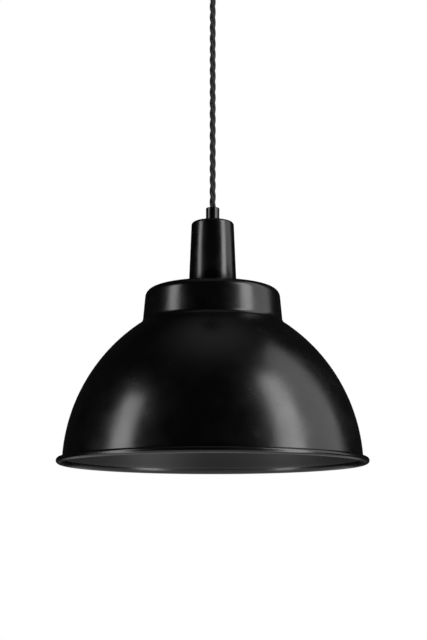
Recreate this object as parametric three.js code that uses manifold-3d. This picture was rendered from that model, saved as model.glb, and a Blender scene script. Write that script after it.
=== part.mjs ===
// Pendant ceiling light: a ceiling cup, a short twisted flex, a tapered lampholder cover and a dome shade
// with a stepped crown and a rolled rim. Millimetres, +Z up. The origin is on the ceiling face, on the
// lamp's axis, and everything hangs below it.
import * as THREE from "three";
import { mergeVertices } from "three/addons/utils/BufferGeometryUtils.js";
import Module from "manifold-3d";

const wasm = await Module();
wasm.setup();

// ---------------------------------------------------------------- driving dimensions
const GAP = 0.3; // air kept between two pieces that touch
const TAU = 2 * Math.PI;
const QUARTER = Math.PI / 2;
const THROUGH = 200; // longer than any piece that a hole runs right through

// shade, measured up from the bottom of its rim
const RIM_RADIUS = 165;
const BEAD_RADIUS = 3.3;
const SHEET = 1.2;
const DOME_ARC_RADIUS = 185.5;
const DOME_ARC_CENTRE_R = -26.7; // one arc makes the dome, and its centre lies beyond the axis
const DOME_ARC_CENTRE_Z = -3;
const CROWN_FOOT_RADIUS = 75.4;
const CROWN_TOP_RADIUS = 73;
const CROWN_TOP_Z = 188.5;
const CROWN_EDGE_FILLET = 8.4;
const CROWN_FOOT_FILLET = 9;
const CROWN_FOOT_INSET = 0.4; // the wall's own radius at the foot, inside the corner's
const RIM_LIP = 5.7; // the height where the sheet runs into the rolled rim
const SHADE_HOLE_RADIUS = 20.3;

// lampholder cover, standing on the crown
const COVER_FOOT_RADIUS = 26;
const COVER_TOP_RADIUS = 23.2;
const COVER_HEIGHT = 75;
const COVER_FILLET = 3.4;
const COVER_WALL = 1.2;

// cord grip, the same collar at both ends of the flex
const GRIP_RADIUS = 7.35;
const GRIP_HEIGHT = 16;
const GRIP_CHAMFER = 0.8;
const SPIGOT_RADIUS = 4.9;
const SPIGOT_LENGTH = 10;
const SPIGOT_HOLE_RADIUS = 5.2;
const NUT_FLATS = 14;
const NUT_HEIGHT = 3;
const GRUB_RADIUS = 1.35;
const GRUB_LENGTH = 3;
const GRUB_HOLE_RADIUS = 1.7;
const GRUB_Y = 5.6; // the grub screw's middle, out from the axis
const GRUB_Z = 8; // its height on the collar

// flex
const CORD_RADIUS = 3.3;
const CORD_BORE_RADIUS = 3.7;
const CORD_FREE_LENGTH = 255; // between the mouths of the two grips
const CORD_STEPS = 16;
const CORE_RADIUS = 1.4;
const EARTH_CORE_RADIUS = 1.12;
const CORE_PITCH_RADIUS = 1.75; // the three cores leave the sheath on this circle

// ceiling cup and its bracket
const CUP_RADIUS = 50;
const CUP_HEIGHT = 30;
const CUP_WALL = 1;
const CUP_FILLET = 6;
const CUP_SHADOW_GAP = 0.5; // air between the cup's edge and the ceiling
const CUP_SCREW_Z = -9;
const STRAP_THICKNESS = 1.5;
const STRAP_WIDTH = 16;
const STRAP_HALF_LENGTH = 43;
const TAB_HEIGHT = 14;
const SLOT_NEAR_X = 23;
const SLOT_FAR_X = 33;
const SLOT_RADIUS = 2.3;
const EARTH_SCREW_X = -13;
const CABLE_HOLE_X = 13; // the house's cable comes through beside the middle
const CABLE_HOLE_RADIUS = 5;
const TERMINAL_PITCH = 10;
const TERMINAL_DEPTH = 18;
const TERMINAL_HEIGHT = 12;
const TERMINAL_CENTRE = [0, 27, -11];
const TERMINAL_WAY_RADIUS = 2.2;
const TERMINAL_SCREW_RADIUS = 1.6;
const TERMINAL_SCREW_LENGTH = 2.6;
const TERMINAL_SCREW_INSET = 4; // its distance in front of the block's middle
const TERMINAL_SCREW_SUNK = 0.4; // how far its face lies inside the block
const GROOVE_DEPTH = 1; // the cutting groove between the two ways
const TAIL_TOP_Z = -16;

// lampholder
const SKIRT_RADIUS = 19.8;
const SKIRT_BORE_RADIUS = 17.8;
const SKIRT_BOTTOM_Z = 170;
const SKIRT_TOP_Z = 212;
const SKIRT_LEDGE = 2.7; // the inner ledge that carries the ceramic
const SKIRT_CHAMFER = 1;
const SHOULDER_RADIUS = 24.2;
const SHOULDER_THICKNESS = 2.5;
const CERAMIC_RADIUS = 17.5;
const CERAMIC_BORE_RADIUS = 14.6;
const CERAMIC_ROOF_Z = 205.1;
const CERAMIC_TOP_Z = 220.2;
const CERAMIC_CHAMFER = 1;
const TERMINAL_Y = 10.5; // the live and neutral screws, before and behind the axis
const SHELL_RADIUS = 14.3;
const SHELL_WALL = 0.7;
const SHELL_BOTTOM_Z = 176;
const CONTACT_RADIUS = 4.2;
const CONTACT_THICKNESS = 1;
const SHEET_STEEL = 1.5;
const YOKE_HALF_WIDTH = 16.5;
const YOKE_DEPTH = 12;
const YOKE_FOOT_LENGTH = 8.5;
const YOKE_SCREW_X = 11;
const YOKE_EARTH_Z = 240;
const RING_BORE_RADIUS = 20.1;
const RING_FLANGE_RADIUS = 28;
const RING_BODY_RADIUS = 25;
const RING_HEIGHT = 9;
const RING_FLANGE_HEIGHT = 3;
const RING_CHAMFER = 1;
const CORD_END_BELOW_SPIGOT = 4; // how far the sheath reaches into the cover past the spigot

// bulb
const BULB_RADIUS = 30;
const BULB_GLASS = 0.8;
const BULB_CENTRE_Z = 126;
const CAP_RADIUS = 13.1;
const CAP_WALL = 0.6;
const CAP_BOTTOM_Z = 178;
const CAP_TOP_Z = 199.2;
const CAP_SHOULDER = 3.5;
const CAP_CROWN_RADIUS = 9;
const CAP_MOUTH_RADIUS = 8.2;
const NECK = [
  [26.5, 140.1],
  [22.6, 149.4],
  [17.6, 160],
  [14.4, 169.5],
  [12.2, 178.2],
  [12.1, 186],
];
const FILAMENTS = 4;
const FILAMENT_RADIUS = 0.9;
const FILAMENT_TOP = [5.2, 149]; // radius and height of its ends
const FILAMENT_BOTTOM = [9.6, 117];

// places that follow from them
const CUP_BOTTOM_Z = -CUP_HEIGHT;
const CEILING_GRIP_TOP_Z = CUP_BOTTOM_Z - GAP;
const CEILING_MOUTH_Z = CEILING_GRIP_TOP_Z - GRIP_HEIGHT;
const PIVOT_Z = CEILING_MOUTH_Z - GAP - CORD_RADIUS;
const LAMP_MOUTH_Z = CEILING_MOUTH_Z - CORD_FREE_LENGTH;
const COVER_FOOT_Z = CROWN_TOP_Z + GAP;
const COVER_TOP_Z = COVER_FOOT_Z + COVER_HEIGHT;
const LAMP_GRIP_FOOT_Z = COVER_TOP_Z + GAP;
const RIM_Z = LAMP_MOUTH_Z - (LAMP_GRIP_FOOT_Z + GRIP_HEIGHT);

// ---------------------------------------------------------------- materials
function finish(color, roughness, metalness) {
  return new THREE.MeshStandardMaterial({ color, roughness, metalness });
}

const satinBlack = finish(0x101011, 0.34, 0.1);
const blackFabric = finish(0x141415, 0.95, 0);
const zincSteel = finish(0xb4b6b8, 0.35, 1);
const brass = finish(0xc8a557, 0.3, 1);
const nickel = finish(0xc9c7c0, 0.25, 1);
const porcelain = finish(0xeeebe4, 0.25, 0);
const blackMoulding = finish(0x161617, 0.45, 0);
const palePlastic = finish(0xe6e3da, 0.5, 0);
const clearGlass = new THREE.MeshStandardMaterial({
  color: 0xf4f6f6,
  roughness: 0.05,
  metalness: 0,
  transparent: true,
  opacity: 0.35,
});
const phosphor = finish(0xe8c15a, 0.6, 0);
const brownCore = finish(0x5c3419, 0.5, 0);
const blueCore = finish(0x2456a8, 0.5, 0);
const greenCore = finish(0x5f9c3a, 0.5, 0);

// ---------------------------------------------------------------- geometry helpers
/** A solid turned about Z. The outline is a list of [radius, z], anticlockwise, closed or on the axis. */
function revolve(outline, segments = 32) {
  const points = outline.map(([r, z]) => new THREE.Vector2(r, z));
  const onAxis = outline[0][0] === 0 && outline.at(-1)[0] === 0;
  if (!onAxis) points.push(points[0].clone());
  return new THREE.LatheGeometry(points, segments).rotateX(Math.PI / 2);
}

/** Points on a circular arc from one angle to another, in degrees, both ends included. */
function arc(centreR, centreZ, radius, from, to, steps) {
  return Array.from({ length: steps + 1 }, (_, i) => {
    const angle = THREE.MathUtils.degToRad(from + ((to - from) * i) / steps);
    return [centreR + radius * Math.cos(angle), centreZ + radius * Math.sin(angle)];
  });
}

function tube(inner, outer, bottom, top, segments = 32) {
  return revolve([[inner, bottom], [outer, bottom], [outer, top], [inner, top]], segments);
}

function box(width, depth, height, x, y, z) {
  return new THREE.BoxGeometry(width, depth, height).translate(x, y, z);
}

/** A plain rod about Z, or about X when asked, centred at a point. */
function rod(radius, length, [x, y, z], axis = "z", segments = 20) {
  const geometry = new THREE.CylinderGeometry(radius, radius, length, segments);
  if (axis === "z") geometry.rotateX(Math.PI / 2);
  if (axis === "x") geometry.rotateZ(Math.PI / 2);
  return geometry.translate(x, y, z);
}

/** A small plain rod along Y, centred at a point. */
function crossRod(radius, length, x, y, z) {
  return new THREE.CylinderGeometry(radius, radius, length, 12).translate(x, y, z);
}

/** The merged, closed form of a geometry that the boolean cuts work on. */
function toManifold(geometry) {
  const bare = geometry.clone();
  bare.deleteAttribute("normal");
  bare.deleteAttribute("uv");
  const merged = mergeVertices(bare, 1e-4);
  const index = merged.index.array;
  const kept = [];
  for (let i = 0; i < index.length; i += 3) {
    const [a, b, c] = index.slice(i, i + 3);
    if (a !== b && b !== c && c !== a) kept.push(a, b, c);
  }
  const vertProperties = new Float32Array(merged.attributes.position.array);
  const triVerts = new Uint32Array(kept);
  return new wasm.Manifold(new wasm.Mesh({ numProp: 3, vertProperties, triVerts }));
}

function fromManifold(solid) {
  const { vertProperties, triVerts, numProp } = solid.getMesh();
  const geometry = new THREE.BufferGeometry();
  const positions = new Float32Array((vertProperties.length / numProp) * 3);
  for (let i = 0; i < positions.length / 3; i += 1) {
    positions.set(vertProperties.subarray(i * numProp, i * numProp + 3), i * 3);
  }
  geometry.setAttribute("position", new THREE.BufferAttribute(positions, 3));
  geometry.setIndex(new THREE.BufferAttribute(new Uint32Array(triVerts), 1));
  geometry.computeVertexNormals();
  return geometry;
}

/** Joins the first list of geometries and cuts the second list out of them. */
function carve(joined, cuts) {
  const body = joined.map(toManifold).reduce((sum, next) => sum.add(next));
  return fromManifold(cuts.map(toManifold).reduce((rest, next) => rest.subtract(next), body));
}

const CUP_SCREW = { headRadius: 3.8, headHeight: 2.4, shankRadius: 1.8, shankLength: 12 };
const EARTH_SCREW = { headRadius: 3.6, headHeight: 2.4, shankRadius: 1.8, shankLength: STRAP_THICKNESS };
const YOKE_SCREW = { headRadius: 3.4, headHeight: 2.2, shankRadius: 1.7, shankLength: 9 };
const YOKE_EARTH_SCREW = { headRadius: 2.8, headHeight: 2, shankRadius: 1.4, shankLength: 4 };
const TERMINAL_SCREW = { headRadius: 3, headHeight: 2.2, shankRadius: 1.7, shankLength: 7 };
const SHANK_CLEARANCE = 0.4;
const HEAD_CROWN = 0.3; // the share of a screw's head that is domed, and how far its top draws in

/** A screw whose head stands on z = 0 and whose shank goes down. */
function screw({ headRadius, headHeight, shankRadius, shankLength }) {
  const crown = headHeight * HEAD_CROWN;
  return revolve(
    [
      [0, -shankLength],
      [shankRadius, -shankLength],
      [shankRadius, 0],
      [headRadius, 0],
      [headRadius, headHeight - crown],
      [headRadius * (1 - HEAD_CROWN), headHeight],
      [0, headHeight],
    ],
    10,
  );
}

function hexNut(flats, bore, height) {
  const corner = flats / Math.sqrt(3);
  const outline = Array.from({ length: 6 }, (_, i) => {
    const angle = (TAU * i) / 6;
    return new THREE.Vector2(corner * Math.cos(angle), corner * Math.sin(angle));
  });
  const shape = new THREE.Shape(outline);
  shape.holes.push(new THREE.Path().absarc(0, 0, bore, 0, TAU, true));
  return new THREE.ExtrudeGeometry(shape, { depth: height, bevelEnabled: false, curveSegments: 12 });
}

/** A round wire that follows a smooth curve through the given points. */
function wire(points, radius, steps, sides = 8) {
  const section = Array.from({ length: sides }, (_, i) => {
    const angle = (TAU * i) / sides;
    return new THREE.Vector2(radius * Math.cos(angle), radius * Math.sin(angle));
  });
  const curve = new THREE.CatmullRomCurve3(points.map((p) => new THREE.Vector3(...p)));
  return new THREE.ExtrudeGeometry(new THREE.Shape(section), {
    steps,
    extrudePath: curve,
    bevelEnabled: false,
  });
}

// ---------------------------------------------------------------- the scene graph
const pendant = new THREE.Group();
const lamp = new THREE.Group(); // measured up from the bottom of the shade's rim
lamp.position.z = RIM_Z;
pendant.add(lamp);

function place(name, geometry, material, parent, position = [0, 0, 0], rotation = [0, 0, 0]) {
  const mesh = new THREE.Mesh(geometry, material);
  mesh.name = name;
  mesh.position.set(...position);
  mesh.rotation.set(...rotation);
  parent.add(mesh);
  return mesh;
}

// ---------------------------------------------------------------- ceiling side
function makeBracket() {
  const tabX = STRAP_HALF_LENGTH - STRAP_THICKNESS / 2;
  const tabs = [-1, 1].map((side) =>
    box(STRAP_THICKNESS, STRAP_WIDTH, TAB_HEIGHT, side * tabX, 0, -TAB_HEIGHT / 2),
  );
  const strap = box(2 * STRAP_HALF_LENGTH, STRAP_WIDTH, STRAP_THICKNESS, 0, 0, -STRAP_THICKNESS / 2);
  const slotMiddle = (SLOT_NEAR_X + SLOT_FAR_X) / 2;
  const slots = [-1, 1].flatMap((side) => [
    box(SLOT_FAR_X - SLOT_NEAR_X, 2 * SLOT_RADIUS, THROUGH, side * slotMiddle, 0, 0),
    rod(SLOT_RADIUS, THROUGH, [side * SLOT_NEAR_X, 0, 0]),
    rod(SLOT_RADIUS, THROUGH, [side * SLOT_FAR_X, 0, 0]),
  ]);
  const screwHole = rod(CUP_SCREW.shankRadius + SHANK_CLEARANCE, THROUGH, [0, 0, CUP_SCREW_Z], "x");
  const earthHole = rod(EARTH_SCREW.shankRadius + SHANK_CLEARANCE, THROUGH, [EARTH_SCREW_X, 0, 0]);
  const cableHole = rod(CABLE_HOLE_RADIUS, THROUGH, [CABLE_HOLE_X, 0, 0]);
  const bracket = carve([strap, ...tabs], [...slots, screwHole, earthHole, cableHole]);
  place("ceiling_bracket", bracket, zincSteel, pendant);
  place(
    "earth_screw",
    screw(EARTH_SCREW),
    brass,
    pendant,
    [EARTH_SCREW_X, 0, -STRAP_THICKNESS - GAP],
    [Math.PI, 0, 0],
  );
}

function makeCup() {
  const outside = arc(CUP_RADIUS - CUP_FILLET, CUP_BOTTOM_Z + CUP_FILLET, CUP_FILLET, -90, 0, 4);
  const inside = arc(CUP_RADIUS - CUP_FILLET, CUP_BOTTOM_Z + CUP_FILLET, CUP_FILLET - CUP_WALL, 0, -90, 3);
  const shell = revolve(
    [
      [SPIGOT_HOLE_RADIUS, CUP_BOTTOM_Z],
      ...outside,
      [CUP_RADIUS, -CUP_SHADOW_GAP],
      [CUP_RADIUS - CUP_WALL, -CUP_SHADOW_GAP],
      ...inside,
      [SPIGOT_HOLE_RADIUS, CUP_BOTTOM_Z + CUP_WALL],
    ],
    40,
  );
  const hole = rod(CUP_SCREW.shankRadius + SHANK_CLEARANCE, THROUGH, [0, 0, CUP_SCREW_Z], "x");
  place("ceiling_cup", carve([shell], [hole]), satinBlack, pendant);
  [-1, 1].forEach((side) => {
    place(
      side < 0 ? "cup_screw_left" : "cup_screw_right",
      screw(CUP_SCREW),
      zincSteel,
      pendant,
      [side * (CUP_RADIUS + GAP), 0, CUP_SCREW_Z],
      [0, side * QUARTER, 0],
    );
  });
}

/** The collar that holds the flex, standing on z = 0 with its threaded spigot below. */
function gripGeometry() {
  const soft = GRIP_CHAMFER;
  const collar = revolve(
    [
      [CORD_BORE_RADIUS, -SPIGOT_LENGTH],
      [SPIGOT_RADIUS, -SPIGOT_LENGTH],
      [SPIGOT_RADIUS, 0],
      [GRIP_RADIUS, 0],
      [GRIP_RADIUS, GRIP_HEIGHT - soft],
      [GRIP_RADIUS - soft, GRIP_HEIGHT],
      [CORD_BORE_RADIUS + soft, GRIP_HEIGHT],
      [CORD_BORE_RADIUS, GRIP_HEIGHT - soft],
    ],
    24,
  );
  const grubHole = crossRod(GRUB_HOLE_RADIUS, 2 * GRIP_RADIUS, 0, GRIP_RADIUS + GAP, GRUB_Z);
  return carve([collar], [grubHole]);
}

function makeCeilingGrip() {
  const upsideDown = [0, Math.PI, 0];
  place("ceiling_grip", gripGeometry(), satinBlack, pendant, [0, 0, CEILING_GRIP_TOP_Z], upsideDown);
  const grub = crossRod(GRUB_RADIUS, GRUB_LENGTH, 0, 0, 0);
  place("ceiling_grip_screw", grub, zincSteel, pendant, [0, GRUB_Y, CEILING_GRIP_TOP_Z - GRUB_Z]);
  const nutZ = CUP_BOTTOM_Z + CUP_WALL + GAP;
  const nut = hexNut(NUT_FLATS, SPIGOT_HOLE_RADIUS, NUT_HEIGHT);
  place("ceiling_grip_nut", nut, brass, pendant, [0, 0, nutZ]);
}

function makeTerminals() {
  const [x, y, z] = TERMINAL_CENTRE;
  const ways = [-1, 1].map((side) => x + (side * TERMINAL_PITCH) / 2);
  const bottom = z - TERMINAL_HEIGHT / 2;
  const screwY = y - TERMINAL_SCREW_INSET;
  const well = TERMINAL_SCREW_RADIUS + GAP;
  const block = carve(
    [box(ways.length * TERMINAL_PITCH, TERMINAL_DEPTH, TERMINAL_HEIGHT, x, y, z)],
    [
      ...ways.map((way) => crossRod(TERMINAL_WAY_RADIUS, THROUGH, way, y, z)),
      ...ways.map((way) => rod(well, TERMINAL_HEIGHT, [way, screwY, bottom], "z", 12)),
      box(2 * GROOVE_DEPTH, THROUGH, 2 * GROOVE_DEPTH, x, y, bottom),
    ],
  );
  place("terminal_block", block, palePlastic, pendant);
  ways.forEach((way, i) => {
    const middle = [0, 0, TERMINAL_SCREW_LENGTH / 2];
    const barrel = rod(TERMINAL_SCREW_RADIUS, TERMINAL_SCREW_LENGTH, middle, "z", 12);
    const foot = [way, screwY, bottom + TERMINAL_SCREW_SUNK];
    place(`terminal_screw_${i + 1}`, barrel, brass, pendant, foot);
  });
  return ways;
}

/** The x and y where a core stands on the circle on which the three leave the sheath. */
function coreExit(turn, swell = 1) {
  return [swell * CORE_PITCH_RADIUS * Math.cos(turn), swell * CORE_PITCH_RADIUS * Math.sin(turn)];
}

const THIRD = TAU / 3;
const CORE_LEAD = 2; // a core leaves the sheath straight for this length
const CORE_SWELL = 1.15; // and by its end the cores have spread by this

// where the tail's cores bend on their way across the cup: x, y and the height over the named datum
const TAIL_CROSSING = [-3.4, 8, 0.4]; // over the terminal block's middle
const TAIL_LEAD_IN = 3; // a core straightens this far before the block
const TAIL_LEAD_THROUGH = 4; // and runs this far into it
const EARTH_TAIL_RISE = [-3.4, -5.4, 6]; // over the cores' start
const EARTH_TAIL_APPROACH = [4.6, -6.2, -3]; // beside the earth screw, under the strap
const EARTH_TAIL_END = [0, -5.2, -2];
const TAIL_STEPS = 12;

function makeTail(ways) {
  const middle = (CEILING_MOUTH_Z + TAIL_TOP_Z) / 2;
  const length = TAIL_TOP_Z - CEILING_MOUTH_Z;
  place("cord_tail", rod(CORD_RADIUS, length, [0, 0, middle], "z", 12), blackFabric, pendant);
  const start = TAIL_TOP_Z + 2 * GAP;
  const front = TERMINAL_CENTRE[1] - TERMINAL_DEPTH / 2;
  const wayZ = TERMINAL_CENTRE[2];
  const liveTurn = -QUARTER - THIRD;
  const live = [
    [...coreExit(liveTurn), start],
    [...coreExit(liveTurn, CORE_SWELL), start + CORE_LEAD],
    [TAIL_CROSSING[0], TAIL_CROSSING[1], wayZ + TAIL_CROSSING[2]],
    [ways[0], front - TAIL_LEAD_IN, wayZ],
    [ways[0], front + TAIL_LEAD_THROUGH, wayZ],
  ];
  const neutral = live.map(([x, y, z]) => [-x, y, z]);
  const earth = [
    [...coreExit(-QUARTER), start],
    [...coreExit(-QUARTER, CORE_SWELL), start + CORE_LEAD],
    [EARTH_TAIL_RISE[0], EARTH_TAIL_RISE[1], start + EARTH_TAIL_RISE[2]],
    ...[EARTH_TAIL_APPROACH, EARTH_TAIL_END].map(([x, y, z]) => {
      return [EARTH_SCREW_X + x, y, z - STRAP_THICKNESS];
    }),
  ];
  place("tail_live", wire(live, CORE_RADIUS, TAIL_STEPS), brownCore, pendant);
  place("tail_neutral", wire(neutral, CORE_RADIUS, TAIL_STEPS), blueCore, pendant);
  place("tail_earth", wire(earth, EARTH_CORE_RADIUS, TAIL_STEPS), greenCore, pendant);
}

// ---------------------------------------------------------------- flex
function makeFlex() {
  place("cord_bend", new THREE.SphereGeometry(CORD_RADIUS, 12, 8), blackFabric, pendant, [0, 0, PIVOT_Z]);
  const top = PIVOT_Z - CORD_RADIUS - GAP;
  const bottom = LAMP_MOUTH_Z + GAP;
  const route = Array.from({ length: CORD_STEPS + 1 }, (_, i) => {
    return [0, 0, THREE.MathUtils.lerp(top, bottom, i / CORD_STEPS)];
  });
  place("cord", wire(route, CORD_RADIUS, CORD_STEPS, 10), blackFabric, pendant);
}

// ---------------------------------------------------------------- lampholder
function makeLampGrip() {
  place("cord_grip", gripGeometry(), satinBlack, lamp, [0, 0, LAMP_GRIP_FOOT_Z]);
  const grub = crossRod(GRUB_RADIUS, GRUB_LENGTH, 0, 0, 0);
  place("cord_grip_screw", grub, zincSteel, lamp, [0, GRUB_Y, LAMP_GRIP_FOOT_Z + GRUB_Z]);
}

function makeCover() {
  const wall = COVER_WALL;
  const taper = THREE.MathUtils.radToDeg(Math.atan2(COVER_FOOT_RADIUS - COVER_TOP_RADIUS, COVER_HEIGHT));
  const centre = [COVER_TOP_RADIUS - COVER_FILLET, COVER_TOP_Z - COVER_FILLET];
  const outerArc = arc(...centre, COVER_FILLET, taper, 90, 4);
  const innerArc = arc(...centre, COVER_FILLET - wall, 90, taper, 3);
  const cover = revolve([
    [COVER_FOOT_RADIUS - wall, COVER_FOOT_Z],
    [COVER_FOOT_RADIUS, COVER_FOOT_Z],
    ...outerArc,
    [SPIGOT_HOLE_RADIUS, COVER_TOP_Z],
    [SPIGOT_HOLE_RADIUS, COVER_TOP_Z - wall],
    ...innerArc,
  ]);
  place("lampholder_cover", cover, satinBlack, lamp);
}

const YOKE_TOP_Z = COVER_TOP_Z - COVER_WALL - GAP;
const YOKE_FOOT_Z = CERAMIC_TOP_Z + GAP;

/** The steel yoke that hangs the ceramic from the grip's spigot. */
function makeYoke() {
  const legX = YOKE_HALF_WIDTH - SHEET_STEEL / 2;
  const legHeight = YOKE_TOP_Z - YOKE_FOOT_Z;
  const footX = YOKE_HALF_WIDTH - YOKE_FOOT_LENGTH / 2;
  const plates = [
    box(2 * YOKE_HALF_WIDTH, YOKE_DEPTH, SHEET_STEEL, 0, 0, YOKE_TOP_Z - SHEET_STEEL / 2),
    ...[-1, 1].flatMap((side) => [
      box(SHEET_STEEL, YOKE_DEPTH, legHeight, side * legX, 0, YOKE_FOOT_Z + legHeight / 2),
      box(YOKE_FOOT_LENGTH, YOKE_DEPTH, SHEET_STEEL, side * footX, 0, YOKE_FOOT_Z + SHEET_STEEL / 2),
    ]),
  ];
  const drill = 4 * SHEET_STEEL;
  const screwHole = YOKE_SCREW.shankRadius + SHANK_CLEARANCE;
  const holes = [
    rod(SPIGOT_HOLE_RADIUS, drill, [0, 0, YOKE_TOP_Z]),
    rod(screwHole, drill, [YOKE_SCREW_X, 0, YOKE_FOOT_Z]),
    rod(screwHole, drill, [-YOKE_SCREW_X, 0, YOKE_FOOT_Z]),
    rod(YOKE_EARTH_SCREW.shankRadius + SHANK_CLEARANCE, drill, [legX, 0, YOKE_EARTH_Z], "x"),
  ];
  place("holder_yoke", carve(plates, holes), zincSteel, lamp);
  const nutZ = YOKE_TOP_Z - SHEET_STEEL - GAP - NUT_HEIGHT;
  place("grip_nut", hexNut(NUT_FLATS, SPIGOT_HOLE_RADIUS, NUT_HEIGHT), brass, lamp, [0, 0, nutZ]);
  const headZ = YOKE_FOOT_Z + SHEET_STEEL + GAP;
  place("yoke_screw_left", screw(YOKE_SCREW), zincSteel, lamp, [-YOKE_SCREW_X, 0, headZ]);
  place("yoke_screw_right", screw(YOKE_SCREW), zincSteel, lamp, [YOKE_SCREW_X, 0, headZ]);
  const earthX = YOKE_HALF_WIDTH - SHEET_STEEL - GAP;
  const turned = [0, -QUARTER, 0];
  place("yoke_earth_screw", screw(YOKE_EARTH_SCREW), brass, lamp, [earthX, 0, YOKE_EARTH_Z], turned);
}

function makeCeramic() {
  const foot = SKIRT_BOTTOM_Z + SKIRT_LEDGE + GAP;
  const body = revolve([
    [CERAMIC_BORE_RADIUS, foot],
    [CERAMIC_RADIUS, foot],
    [CERAMIC_RADIUS, CERAMIC_TOP_Z - CERAMIC_CHAMFER],
    [CERAMIC_RADIUS - CERAMIC_CHAMFER, CERAMIC_TOP_Z],
    [0, CERAMIC_TOP_Z],
    [0, CERAMIC_ROOF_Z],
    [CERAMIC_BORE_RADIUS, CERAMIC_ROOF_Z],
    [CERAMIC_BORE_RADIUS, foot],
  ]);
  const holeRadius = YOKE_SCREW.shankRadius + SHANK_CLEARANCE;
  const shankHoles = [
    [YOKE_SCREW_X, 0],
    [-YOKE_SCREW_X, 0],
    [0, TERMINAL_Y],
    [0, -TERMINAL_Y],
  ].map(([x, y]) => rod(holeRadius, 2 * YOKE_SCREW.shankLength, [x, y, CERAMIC_TOP_Z], "z", 16));
  place("holder_ceramic", carve([body], shankHoles), porcelain, lamp);
  const seatZ = CERAMIC_TOP_Z + GAP;
  place("live_terminal_screw", screw(TERMINAL_SCREW), brass, lamp, [0, -TERMINAL_Y, seatZ]);
  place("neutral_terminal_screw", screw(TERMINAL_SCREW), brass, lamp, [0, TERMINAL_Y, seatZ]);
}

function makeContacts() {
  const contactTop = CERAMIC_ROOF_Z - GAP;
  const shell = tube(SHELL_RADIUS - SHELL_WALL, SHELL_RADIUS, SHELL_BOTTOM_Z, contactTop, 28);
  place("screw_shell", shell, brass, lamp);
  const contactMiddle = [0, 0, contactTop - CONTACT_THICKNESS / 2];
  const contact = rod(CONTACT_RADIUS, CONTACT_THICKNESS, contactMiddle, "z", 14);
  place("centre_contact", contact, brass, lamp);
}

/** The moulded barrel: a shoulder above the shade's top plate and a thread for the shade ring below it. */
function makeSkirt() {
  const shoulderZ = CROWN_TOP_Z + GAP;
  const skirt = revolve([
    [SHELL_RADIUS + GAP, SKIRT_BOTTOM_Z],
    [SKIRT_RADIUS - SKIRT_CHAMFER, SKIRT_BOTTOM_Z],
    [SKIRT_RADIUS, SKIRT_BOTTOM_Z + SKIRT_CHAMFER],
    [SKIRT_RADIUS, shoulderZ],
    [SHOULDER_RADIUS, shoulderZ],
    [SHOULDER_RADIUS, shoulderZ + SHOULDER_THICKNESS],
    [SKIRT_RADIUS, shoulderZ + SHOULDER_THICKNESS],
    [SKIRT_RADIUS, SKIRT_TOP_Z],
    [SKIRT_BORE_RADIUS, SKIRT_TOP_Z],
    [SKIRT_BORE_RADIUS, SKIRT_BOTTOM_Z + SKIRT_LEDGE],
    [SHELL_RADIUS + GAP, SKIRT_BOTTOM_Z + SKIRT_LEDGE],
  ]);
  place("holder_skirt", skirt, blackMoulding, lamp);
}

// where the cores bend inside the cover: x, y and the height over the named datum
const LAMP_LIVE_DROP = [-3, -7.5, -12]; // over the cores' start
const LAMP_LIVE_APPROACH = [-2, -7.2, 6]; // over the terminal screw's head
const LAMP_LIVE_INSET = 4.8; // the end lies this far inside the terminal screw's middle
const LAMP_EARTH_DROP = [5.5, 2.4, -6]; // over the cores' start
const LAMP_EARTH_END = [10.8, 4.8, -0.5]; // over the yoke's earth screw
const LAMP_CORE_STEPS = 14;
const LAMP_EARTH_STEPS = 10;

function makeLampCores() {
  const endZ = LAMP_GRIP_FOOT_Z - SPIGOT_LENGTH - CORD_END_BELOW_SPIGOT;
  const top = LAMP_GRIP_FOOT_Z + GRIP_HEIGHT;
  const inner = rod(CORD_RADIUS, top - endZ, [0, 0, (top + endZ) / 2], "z", 12);
  place("cord_end", inner, blackFabric, lamp);
  const start = endZ - 2 * GAP;
  const headZ = CERAMIC_TOP_Z + TERMINAL_SCREW.headHeight;
  const liveTurn = -THIRD;
  const live = [
    [...coreExit(liveTurn), start],
    [...coreExit(liveTurn, CORE_SWELL), start - CORE_LEAD],
    [LAMP_LIVE_DROP[0], LAMP_LIVE_DROP[1], start + LAMP_LIVE_DROP[2]],
    [LAMP_LIVE_APPROACH[0], LAMP_LIVE_APPROACH[1], headZ + LAMP_LIVE_APPROACH[2]],
    [0, -TERMINAL_Y + LAMP_LIVE_INSET, headZ],
  ];
  const neutral = live.map(([x, y, z]) => [x, -y, z]);
  const earth = [
    [...coreExit(0), start],
    [...coreExit(0, CORE_SWELL), start - CORE_LEAD],
    [LAMP_EARTH_DROP[0], LAMP_EARTH_DROP[1], start + LAMP_EARTH_DROP[2]],
    [LAMP_EARTH_END[0], LAMP_EARTH_END[1], YOKE_EARTH_Z + LAMP_EARTH_END[2]],
  ];
  place("core_live", wire(live, CORE_RADIUS, LAMP_CORE_STEPS), brownCore, lamp);
  place("core_neutral", wire(neutral, CORE_RADIUS, LAMP_CORE_STEPS), blueCore, lamp);
  place("core_earth", wire(earth, EARTH_CORE_RADIUS, LAMP_EARTH_STEPS), greenCore, lamp);
}

// ---------------------------------------------------------------- shade and its ring
/** The height of the dome's outer face at a radius, or of a face that lies inward of it. */
function domeZ(radius, inward = 0) {
  const reach = radius - DOME_ARC_CENTRE_R;
  return DOME_ARC_CENTRE_Z + Math.sqrt((DOME_ARC_RADIUS - inward) ** 2 - reach ** 2);
}

/** The angle on the dome's arc, in degrees, at a height. */
function domeAngle(z, inward = 0) {
  return THREE.MathUtils.radToDeg(Math.asin((z - DOME_ARC_CENTRE_Z) / (DOME_ARC_RADIUS - inward)));
}

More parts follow.
